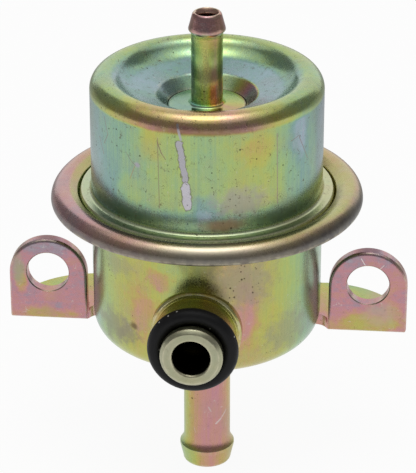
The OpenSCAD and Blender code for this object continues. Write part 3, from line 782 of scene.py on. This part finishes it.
# Return pipe: drawn steel tube, brazed in the housing's collar and plated with it.
# Its lower end is flared to a barb that holds the return hose.
pipe_top = 4.25
pipe_end = -35.0
pipe_r = 4.0
pipe_bore_r = 3.0
barb_r = 4.7
barb_h = 5.4
barb_back = 1.9
barb_land = 0.4
barb_lead = 0.55
nose = 0.7
barb_z = pipe_end + barb_h - barb_back
nose_r = barb_r - barb_lead
flare_a = 2 * math.atan((barb_r - pipe_r) / barb_back)
flare_r = barb_back / math.sin(flare_a)
pipe_profile = np.concatenate([
    [[pipe_bore_r, pipe_end], [nose_r - nose, pipe_end]],
    arc((nose_r - nose, pipe_end + nose), nose, 270, 360, 10)[1:],
    [[barb_r, barb_z - barb_land]],
    arc((pipe_r + flare_r, barb_z + barb_back), flare_r, 180 + math.degrees(flare_a), 180),
    [[pipe_r, pipe_top], [pipe_bore_r, pipe_top]]])
pipe = turned("return_tube", fine(eased(pipe_profile, 0.25), 0.6), 160)
pipe_film = {-180: 0.6, -110: 0.5, -75: 0.5, -50: 0.62, -25: 0.78, 10: 0.84, 40: 0.82, 65: 0.74, 110: 0.62,
             180: 0.6}
nose_film = {-180: 0.6, -60: 0.42, -25: 0.55, -5: 0.74, 18: 0.82, 40: 0.68, 70: 0.6, 180: 0.6}
pipe_scuff = tint(204, 190, 184)
dressed(pipe, plated(
    "pipe_plating", pipe_film, pipe_r,
    zones=[("height", -30.6, -31.6, nose_film)],
    scratches=[((28, -26.2), (42, -25.5), 0.16, 0.5, pipe_scuff, 0.8),
               ((44, -25.3), (60, -24.2), 0.12, 0.5, pipe_scuff, 0.8),
               ((9, -22.8), (15, -23.7), 0.1, 0.4, tint(196, 186, 180), 0.6)],
    pits=[((-32, -20.5), (1.2, 4.5))],
    # Painted shade inside the pipe's bore.
    bore=(pipe_bore_r, -34.9, -34.2),
    seed=41.0, spread=7.0, drift=0.09, streak=0.4, rough=0.3, speck=0.45, hair=1.0))
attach(pipe, "regulator_body")
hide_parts("return_pipe")


# Valve seat and valve retainer: turned from brass.
# The seat is pressed into the pipe's upper end, and the retainer ring into the valve holder.
def turned_metal(name, light, dark, rough):
    """Plain turned metal: lathe lines round the body axis, with slow light and dark stains."""
    material, tree, shader, place = fresh(name, 1.0)
    x, y, z = put(tree, "ShaderNodeSeparateXYZ", [place])
    radius = calc(tree, "SQRT", plus(tree, times(tree, x, x), times(tree, y, y)))
    across = put(tree, "ShaderNodeCombineXYZ", [radius, 0.0, z])[0]
    rings = use(tree, tool_lines, Place=across, Squeeze=(6, 1, 6))
    satin = use(tree, satin_grain, Place=place, Grain=4.0)
    stain = graded(tree, noise(tree, place, 0.3, 4.0), 0.4, 0.7)
    value = plus(tree, times(tree, rings["Shade"], 0.05), 1.0)
    colour = blended(tree, stain, light, dark)
    colour = put(tree, "ShaderNodeHueSaturation", {"Value": value, "Color": colour})[0]
    gloss = plus(tree, times(tree, satin["Shade"], 0.05), plus(tree, times(tree, stain, 0.1), rough))
    finished(tree, shader, colour, gloss, rings["Height"], 0.2)
    return material


brass = turned_metal("valve_brass", tint(208, 178, 112), tint(178, 146, 84), 0.28)
dressed(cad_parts["valve_seat"], brass)
dressed(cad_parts["valve_retainer"], brass)

# Valve plate, ball, holder, diaphragm washer, spring plate and upper spring seat: bare steel, turned and
# pressed. The holder is riveted through the diaphragm and carries the ball and the valve plate in its pocket.
steel = turned_metal("bare_steel", tint(200, 200, 202), tint(172, 172, 176), 0.3)
for pressed in ("valve_plate", "valve_holder", "diaphragm_washer", "spring_plate", "upper_spring_seat"):
    dressed(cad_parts[pressed], steel)
bearing = turned_metal("ball_steel", tint(214, 215, 218), tint(196, 197, 201), 0.12)
dressed(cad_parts["valve_ball"], bearing)

# Diaphragm: rubber-coated fabric, clamped in the rolled rim and sagging to the valve holder.
rim_z = 15.5
dia_t = 0.3
dia_sag = 1.6
clamp_r = 24.1
shank_hole_r = 2.43
slope_in = 14.3
slope_out = 18.05


def sagging_sheet(name):
    """A sheet from the holder's shank to the rim: level, half a cosine wave up by the sag, then level."""
    u = np.linspace(0, 1, 25)
    rise = dia_sag * (1 - np.cos(np.pi * u)) / 2
    slope = np.column_stack([slope_in + (slope_out - slope_in) * u, rim_z - dia_sag + rise])
    under = np.concatenate([[[shank_hole_r, rim_z - dia_sag]], slope, [[clamp_r, rim_z]]])
    return turned(name, fine(np.concatenate([under, under[::-1] + [0, dia_t]]), 0.9), 180)


def coated_fabric(name):
    """Rubber over woven fabric: the weave is sine of x times sine of y, and slow clouds rub the coat."""
    material, tree, shader, place = fresh(name, 0.0)
    x, y, z = put(tree, "ShaderNodeSeparateXYZ", [place])
    warp = calc(tree, "SINE", times(tree, x, 9.0))
    weft = calc(tree, "SINE", times(tree, y, 9.0))
    weave = times(tree, warp, weft)
    rubbed = graded(tree, noise(tree, place, 0.4, 4.0), 0.35, 0.7)
    colour = blended(tree, times(tree, rubbed, 0.6), tint(44, 40, 36), tint(70, 64, 56))
    colour = blended(tree, graded(tree, weave, -1.0, 1.0, 0.0, 0.25), colour, tint(92, 84, 74))
    finished(tree, shader, colour, plus(tree, times(tree, rubbed, 0.15), 0.62), weave, 0.4)
    return material


diaphragm = dressed(sagging_sheet("diaphragm_sheet"), coated_fabric("diaphragm_rubber"))
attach(diaphragm, "regulator_body")
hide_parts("diaphragm")
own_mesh(diaphragm)

# Pressure spring: oil-tempered wire, coiled with a closed turn at each end, between the spring plate and the
# upper seat.
wire_r = 1.25
coil_r = 12.0
coil_turns = 4.5
closed_pitch = 2.7
coil_low = 15.25
coil_high = 32.56


def coil(name):
    """A wire round a helix: r = coil + wire cos b, turned by 2 pi n, at a height of the rise plus wire sin b.
    The rise is closed_pitch over the first and the last turn, and even between them."""
    n = np.linspace(0, coil_turns, 271)
    open_rise = coil_high - coil_low - 2 * wire_r - 2 * closed_pitch
    gains = np.cumsum([0, closed_pitch, open_rise, closed_pitch])
    rise = np.interp(n, [0, 1, coil_turns - 1, coil_turns], gains)
    b = np.linspace(0, -2 * np.pi, 20, endpoint=False)
    r = coil_r + wire_r * np.cos(b)
    a = 2 * np.pi * n[:, None]
    z = coil_low + wire_r + rise[:, None] + wire_r * np.sin(b)
    return skin(name, np.stack([r * np.cos(a), r * np.sin(a), z], -1), np.zeros(len(n)), capped=True)


def tempered_wire(name):
    """Dark oil-tempered wire with patches of scale."""
    material, tree, shader, place = fresh(name, 1.0)
    satin = use(tree, satin_grain, Place=place, Grain=3.0)
    scale = graded(tree, noise(tree, place, 0.35, 4.0), 0.38, 0.68)
    colour = blended(tree, scale, tint(118, 120, 126), tint(84, 80, 78))
    finished(tree, shader, colour, plus(tree, times(tree, scale, 0.2), 0.34), satin["Height"], 0.2, 0.00004)
    return material


spring = dressed(coil("pressure_coil"), tempered_wire("spring_steel"))
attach(spring, "regulator_body")
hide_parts("pressure_spring")
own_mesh(spring)

# Spring cap: a cup drawn from 0.8 mm sheet, with a dished top, a countersunk throat that takes the nipple,
# and a flange held in the rolled rim, stepped up inside the lip. The die left fine lines down its wall.
# It is plated like the housing, and handling has scratched and peeled the film.
crest_z = 37.9
cap_shoulder_r = 2.6
valley_r = 5.0
dish_depth = 3.6
dish_slope = 15
throat_mouth_r = 8.35
throat_r = 1.2
throat_slope = 47
hole_r = 6.53
foot_r = 0.7
step_h = 0.9
step_r = lip_r - 0.6
step_thick = 0.3
floor_up = leaning(dish_slope)
throat_up = leaning(throat_slope)
floor_out = np.array([floor_up[1], -floor_up[0]])
floor_a = 90 + dish_slope
throat_a = 90 + throat_slope
throat_edge = np.array([throat_mouth_r, crest_z - dish_depth])
throat_c = throat_edge - throat_r * (floor_up + throat_up) / (1 + floor_up @ throat_up)
throat_drop = (throat_mouth_r - hole_r) * math.tan(math.radians(throat_slope))
hole_edge = np.array([hole_r, throat_edge[1] - throat_drop])
hole_under = hole_edge - sheet * throat_up
shoulder_c = np.array([shell_r - cap_shoulder_r, crest_z - cap_shoulder_r])
lift = throat_edge + valley_r * floor_up - shoulder_c
reach = cap_shoulder_r + valley_r
run = -lift @ floor_out - math.sqrt((lift @ floor_out) ** 2 - lift @ lift + reach ** 2)
valley_c = shoulder_c + lift + run * floor_out
meet = math.degrees(math.atan2(*(valley_c - shoulder_c)[::-1]))
step_z = cap_face + step_h
foot_c = (shell_r + foot_r, step_z + foot_r)
cap_profile = np.concatenate([
    [[clamp_r, cap_face], [lip_r, cap_face], [step_r, step_z]],
    arc(foot_c, foot_r, 270, 180),
    arc(shoulder_c, cap_shoulder_r, 0, meet, 24),
    arc(valley_c, valley_r, meet + 180, floor_a + 180, 24)[1:],
    arc(throat_c, throat_r, floor_a, throat_a, 8),
    [hole_edge, hole_under],
    arc(throat_c, throat_r - sheet, throat_a, floor_a, 8),
    arc(valley_c, valley_r + sheet, floor_a + 180, meet + 180, 24),
    arc(shoulder_c, cap_shoulder_r - sheet, meet, 0, 24)[1:],
    arc(foot_c, foot_r + sheet, 180, 270),
    [[step_r - step_thick, step_z - sheet], [lip_r - step_thick, cap_face - sheet],
     [clamp_r, cap_face - sheet]]])
cap = turned("cap_shell", fine(cap_profile, 0.7), 288)
cap_film = {-180: 0.48, -130: 0.4, -100: 0.2, -75: 0.17, -58: 0.21, -44: 0.25, -30: 0.34, -18: 0.46, -6: 0.45,
            3: 0.4, 16: 0.46, 31: 0.52, 40: 0.46, 49: 0.3, 57: 0.22, 67: 0.27, 78: 0.15, 100: 0.12, 140: 0.42,
            180: 0.48}
foot_film = {-180: 0.3, -120: 0.25, -90: 0.1, -60: 0.14, -30: 0.26, 2: 0.24, 27: 0.28, 44: 0.24, 70: 0.4,
             90: 0.55, 180: 0.3}
flange_film = {-180: 0.5, -120: 0.44, -90: 0.4, -60: 0.4, -30: 0.42, 0: 0.46, 30: 0.44, 60: 0.52, 90: 0.57,
               130: 0.55, 180: 0.5}
low_shoulder_film = {-180: 0.46, -80: 0.4, -55: 0.48, -32: 0.68, 0: 0.74, 22: 0.76, 45: 0.58, 60: 0.44,
                     180: 0.46}
high_shoulder_film = {-180: 0.46, -120: 0.42, -80: 0.36, -50: 0.42, -32: 0.62, 0: 0.7, 22: 0.74, 38: 0.55,
                      60: 0.42, 120: 0.42, 180: 0.46}
valley_film = {-180: 0.37, -120: 0.3, -80: 0.14, 0: 0.2, 80: 0.2, 120: 0.3, 180: 0.37}
dish_film = {-180: 0.14, -130: 0.21, -100: 0.12, -75: 0.19, -40: 0.08, 0: 0.14, 30: 0.04, 60: 0.02, 85: 0.13,
             120: 0.13, 180: 0.14}
throat_film = {-180: 0.36, -90: 0.12, 0: 0.3, 60: 1.0, 110: 1.0, 150: 0.4, 180: 0.36}
bare_zinc = tint(192, 189, 197)
dull_zinc = tint(172, 170, 177)
# Painted shadow along the edges of the peeled strip.
peel_painted_shadow = tint(96, 88, 84)
rust_line = tint(132, 108, 100)
cap_stains_and_painted_light = [
    ((21.8, 23.0), (5.2, 3.0), 0.4, tint(168, 162, 156), 0.7),
    ((12.5, 19.2), (3.8, 1.3), 0.25, tint(142, 118, 98), 0.8),
    ((-30, 28.4), (0.62, 0.5), 0.1, dull_zinc, 0.95),
    # Painted dark reflection: a brown band under the front of the shoulder's highlight.
    ((3, 35.5), (11.0, 0.75), 0.15, tint(122, 94, 70), 0.65),
    # Painted highlight: a pale band along the fillet at the wall's foot.
    ((0, 17.6), (90.0, 0.4), 0.1, tint(206, 210, 188), 0.5),
    # Painted shade: dark bands at the wall's foot above the rim, on the left and the right.
    ((-40, 19.5), (10.0, 1.3), 0.2, tint(62, 96, 84), 0.7),
    ((44, 19.4), (8.0, 1.3), 0.2, tint(66, 92, 80), 0.6)]
peel_high = ((-7.8, 33.5), (-5.2, 27.2))
peel_low = ((-4.9, 26.0), (-4.1, 22.6))
# The peeled strip: bare zinc inside a wider dark stroke, a painted shadow along its edges and across its
# step.
peeled_strip_with_painted_shadow = [
    ((-8.9, 36.5), (-7.1, 34.1), 0.2, 0.1, dull_zinc, 0.8),
    (*peel_high, 0.64, 0.5, peel_painted_shadow, 0.7), (*peel_high, 0.5, 0.5, dull_zinc, 0.95),
    (*peel_low, 0.82, 0.3, peel_painted_shadow, 0.7), (*peel_low, 0.68, 0.3, bare_zinc, 0.95),
    ((-5.0, 26.6), (-4.0, 26.4), 0.05, 0.1, peel_painted_shadow, 0.8)]
cap_scratches = [
    ((-18.7, 33.9), (-18.0, 21.7), 0.07, 0.1, rust_line, 0.6),
    ((-18.8, 33.2), (-16.8, 31.4), 0.08, 0.2, rust_line, 0.8),
    ((-16.8, 31.4), (-14.7, 30.4), 0.08, 0.2, rust_line, 0.7),
    ((40.5, 33.8), (41.2, 21.6), 0.11, 0.15, tint(150, 132, 128), 0.6),
    ((-53.5, 34.3), (-50.5, 31.5), 0.07, 0.2, rust_line, 0.7),
    ((-50.5, 31.5), (-54.0, 29.6), 0.07, 0.2, rust_line, 0.7),
    ((-59.0, 30.1), (-54.5, 27.6), 0.08, 0.2, rust_line, 0.7),
    ((49.5, 31.7), (55.2, 32.1), 0.06, 0.2, rust_line, 0.7),
    ((55.2, 31.8), (62.4, 27.3), 0.07, 0.25, rust_line, 0.7),
    ((-37, 30.0), (-33, 28.6), 0.05, 0.2, rust_line, 0.7),
    ((-33, 28.6), (-31, 28.2), 0.05, 0.2, rust_line, 0.7),
    ((-31.5, 28.0), (-34.5, 25.6), 0.05, 0.2, tint(170, 120, 84), 0.7)]
dressed(cap, plated(
    "cap_plating", cap_film, shell_r,
    zones=[("height", 22.6, 20.2, foot_film), ("height", 18.4, 17.7, flange_film),
           ("height", 34.7, 35.4, low_shoulder_film), ("height", 36.4, 37.2, high_shoulder_film),
           ("radius", 16.2, 14.8, valley_film), ("radius", 13.4, 12.0, dish_film),
           ("radius", 8.7, 8.1, throat_film)],
    marks=[((55.4, 32.3), (2.8, 4.4), 0.4, -0.14), ((29.6, 32.1), (4.0, 3.0), 0.4, 0.12),
           ((-22.6, 32.8), (2.4, 4.0), 0.4, 0.14), ((3.8, 22.2), (3.0, 2.6), 0.4, -0.17),
           ((-34, 23.7), (3.0, 3.0), 0.4, 0.1), ((-4, 35.8), (3.4, 0.7), 0.3, 0.1),
           ((26, 35.8), (3.4, 0.7), 0.3, 0.1)],
    stains_and_painted_light=cap_stains_and_painted_light,
    scratches=peeled_strip_with_painted_shadow + cap_scratches,
    seed=53.0, spread=9.0, drift=0.1, streak=0.5, rough=0.23, speck=0.8, hair=0.5, crack=0.8))
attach(cap, "regulator_body")
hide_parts("spring_cap")

# Vacuum nipple: turned from steel bar and brazed in the throat of the cap, with a flange below the sheet.
# The barb at its top holds the vacuum hose.
boss_r = 6.5
boss_proud = 0.1
boss_top = hole_edge[1] + boss_proud
nipple_r = 2.625
nipple_bore_r = 1.5
nipple_foot = 0.6
nipple_mouth = 0.45
nipple_mouth_h = 0.7
nipple_flange_r = 8.5
nipple_flange_gap = 0.03
nipple_flange_t = 1.2
stem_h = 15.9
stem_barb_r = 3.05
stem_barb_h = 3.4
barb_slope = 0.4
barb_flat = 0.3
barb_taper = 0.65
barb_lip = 0.25
flange_z = hole_under[1] - nipple_flange_gap
stem_top = boss_top + stem_h
crest_low = stem_top - stem_barb_h + barb_slope
stem_tip_r = stem_barb_r - barb_taper
nipple_profile = np.concatenate([
    [[nipple_bore_r, flange_z - nipple_flange_t], [nipple_flange_r, flange_z - nipple_flange_t],
     [nipple_flange_r, flange_z], [boss_r, flange_z], [boss_r, boss_top - edge_r],
     [boss_r - edge_r, boss_top]],
    arc((nipple_r + nipple_foot, boss_top + nipple_foot), nipple_foot, 270, 180, 10),
    [[nipple_r, crest_low - barb_slope], [stem_barb_r, crest_low], [stem_barb_r, crest_low + barb_flat],
     [stem_tip_r, stem_top - barb_lip], [stem_tip_r - barb_lip, stem_top],
     [nipple_bore_r + nipple_mouth, stem_top], [nipple_bore_r, stem_top - nipple_mouth_h]]])
nipple = turned("nipple_turning", fine(eased(nipple_profile, 0.15), 0.5), 128)
stem_film = {-180: 0.5, -110: 0.4, -60: 0.46, -24: 0.56, -8: 0.6, 8: 0.64, 22: 0.7, 38: 0.74, 58: 0.62,
             75: 0.57, 120: 0.5, 180: 0.5}
barb_film = {-180: 0.8, -60: 0.84, 0: 0.9, 60: 0.84, 180: 0.8}
boss_film = {-180: 0.34, -60: 0.26, 0: 0.34, 40: 0.6, 70: 0.72, 100: 0.5, 180: 0.34}
dressed(nipple, plated(
    "nipple_plating", stem_film, nipple_r,
    zones=[("height", 44.9, 45.2, barb_film), ("height", 33.4, 32.8, boss_film)],
    stains_and_painted_light=[((0, 46.9), (99.0, 1.9), 0.1, tint(150, 128, 118), 0.35),
            # Painted shade: dark stripes down the stem's left and right sides.
            ((-58, 40.0), (1.0, 7.0), 0.1, tint(70, 96, 66), 0.85),
            ((64, 40.0), (0.9, 7.0), 0.1, tint(96, 98, 44), 0.85),
            # Painted highlight: a bright gold stripe down the front of the stem.
            ((-4, 39.5), (1.1, 6.0), 0.15, tint(226, 206, 140), 0.6)],
    # Painted shade inside the nipple's bore.
    bore=(nipple_bore_r, 47.4, 46.4),
    seed=67.0, spread=6.0, drift=0.08, squeeze=(0.1, 0.1, 7.0), rough=0.15, grey=0.1, wear=0.8))
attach(nipple, "regulator_body")
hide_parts("vacuum_nipple")

# Studio: a white floor under the object and white behind it, dark boards round the front and the sides,
# a ceiling that is bright above the object and grey further out, and a soft box above.
# Only reflections see the boards. Sizes are in metres.
floor_z = cad_box[0][2]
floor_half = 3.0
room_r = 0.8
room_h = 0.95
board_foot = 0.01
board_turn = 140
dark_level = 0.23
ceiling_level = 3.6
ceiling_shares = [(0.2, 1.0), (0.28, 0.55), (0.36, 0.32), (0.55, 0.21), (0.8, 0.2)]
paper_white = (0.85, 0.85, 0.85, 1)
pure_white = (1, 1, 1, 1)


def board(name, grid):
    """A studio board through a grid of points: each makes a quad with the next column and row."""
    rows, cols = grid.shape[:2]
    index = np.arange(rows * cols).reshape(rows, cols)
    quads = np.stack([index[:-1, :-1], index[:-1, 1:], index[1:, 1:], index[1:, :-1]], -1).reshape(-1, 4)
    mesh = bpy.data.meshes.new(name)
    mesh.from_pydata(grid.reshape(-1, 3).tolist(), [], quads.tolist())
    made = bpy.data.objects.new(name, mesh)
    bpy.context.scene.collection.objects.link(made)
    return made


def square(half, height):
    """Corner points of a level square about the body axis."""
    x, y = np.meshgrid([-half, half], [-half, half])
    return np.stack([x, y, 0 * x + height], -1)


def round_wall(radius, low, high, turn):
    """Points of an upright wall round the front: x = r sin a, y = -r cos a, a from -turn to turn degrees."""
    a, h = np.meshgrid(np.radians(np.linspace(-turn, turn, 57)), [low, high])
    return np.stack([radius * np.sin(a), -radius * np.cos(a), h], -1)


def bare_tree(material):
    """The emptied node tree of a material or a world."""
    material.use_nodes = True
    material.node_tree.nodes.clear()
    return material.node_tree


def shade_board(piece, brightest, shares):
    """Gives a board a glow that only reflections see: shares of the brightest by distance from the axis."""
    material = bpy.data.materials.new(piece.name)
    tree = bare_tree(material)
    level = vector(tree, "MULTIPLY", put(tree, "ShaderNodeTexCoord")["Object"], (1, 1, 0))
    glow = ramp(tree, length(tree, level), [(r, (share, share, share, 1)) for r, share in shares])
    light = put(tree, "ShaderNodeEmission", {"Color": glow, "Strength": brightest})[0]
    put(tree, "ShaderNodeOutputMaterial", [light])
    piece.data.materials.append(material)
    piece.visible_camera = False
    piece.visible_diffuse = False
    piece.visible_shadow = False


def floor_paper(name):
    """White paper that shows its own white to the camera and to reflections, for these greyer behind the
    object. It keeps a share of the object's shadow, and is clear from below."""
    material = bpy.data.materials.new(name)
    tree = bare_tree(material)
    path = put(tree, "ShaderNodeLightPath")
    seen = plus(tree, times(tree, path["Is Camera Ray"], 0.93), times(tree, path["Is Glossy Ray"], 0.95))
    back = put(tree, "ShaderNodeSeparateXYZ", [put(tree, "ShaderNodeTexCoord")["Object"]])[1]
    level = larger(tree, path["Is Camera Ray"], graded(tree, back, 0.04, 0.2, 1.0, 0.4))
    matt = put(tree, "ShaderNodeBsdfDiffuse", {"Color": paper_white})[0]
    glow = put(tree, "ShaderNodeEmission", {"Color": pure_white, "Strength": level})[0]
    top = put(tree, "ShaderNodeMixShader", [seen, matt, glow])[0]
    clear = put(tree, "ShaderNodeBsdfTransparent")[0]
    below = put(tree, "ShaderNodeNewGeometry")["Backfacing"]
    put(tree, "ShaderNodeOutputMaterial", [put(tree, "ShaderNodeMixShader", [below, top, clear])[0]])
    return material


def white_surround(name, strength):
    """A world that is white to the camera and to reflections, and lights the object by its strength."""
    world = bpy.data.worlds.new(name)
    tree = bare_tree(world)
    path = put(tree, "ShaderNodeLightPath")
    mirrored = larger(tree, path["Is Glossy Ray"], path["Is Transmission Ray"])
    shown = larger(tree, path["Is Camera Ray"], mirrored)
    light = put(tree, "ShaderNodeBackground", {"Color": pure_white, "Strength": strength})[0]
    white = put(tree, "ShaderNodeBackground", {"Color": pure_white, "Strength": 1.0})[0]
    put(tree, "ShaderNodeOutputWorld", [put(tree, "ShaderNodeMixShader", [shown, light, white])[0]])
    return world


def towards(azimuth, elevation):
    """Unit vector from the object in that direction: azimuth from the front towards the right, in degrees."""
    a = math.radians(azimuth)
    e = math.radians(elevation)
    return Vector((math.sin(a) * math.cos(e), -math.cos(a) * math.cos(e), math.sin(e)))


def soft_box(name, direction, distance, width, depth, power):
    """A rectangular lamp in that direction from the object, turned towards it, not seen in reflections."""
    lamp = bpy.data.lights.new(name, "AREA")
    lamp.shape = "RECTANGLE"
    lamp.size = width
    lamp.size_y = depth
    lamp.energy = power
    made = bpy.data.objects.new(name, lamp)
    bpy.context.scene.collection.objects.link(made)
    made.location = distance * direction
    made.rotation_euler = direction.to_track_quat("Z", "Y").to_euler()
    made.visible_glossy = False


dark_board = board("dark_board", round_wall(room_r, board_foot, room_h, board_turn))
shade_board(dark_board, dark_level, [(0.0, 1.0), (1.0, 1.0)])
shade_board(board("bright_ceiling", square(room_r, room_h)), ceiling_level, ceiling_shares)
dressed(board("studio_floor", square(floor_half, floor_z)), floor_paper("floor_paper"))
bpy.context.scene.world = white_surround("studio", 0.6)
soft_box("soft_box_top", towards(3, 75), 0.62, 0.36, 0.3, 1.1)

# Camera: a long lens at the photograph's angle, a little above and to the right of the inlet.
# It looks at a point just above the inlet axis.
azimuth = 5.24
view = towards(azimuth, 26.14)
distance = 0.423
target_z = 0.00799
target_right = 0.00016
right = Vector((math.cos(math.radians(azimuth)), math.sin(math.radians(azimuth)), 0))
lens = bpy.data.cameras.new("camera")
lens.lens = 191.3
lens.sensor_width = 36
camera = bpy.data.objects.new("camera", lens)
bpy.context.scene.collection.objects.link(camera)
camera.location = Vector((0, 0, target_z)) + right * target_right + view * distance
camera.rotation_euler = view.to_track_quat("Z", "Y").to_euler()
bpy.context.scene.camera = camera
bpy.context.scene.view_settings.view_transform = "Standard"
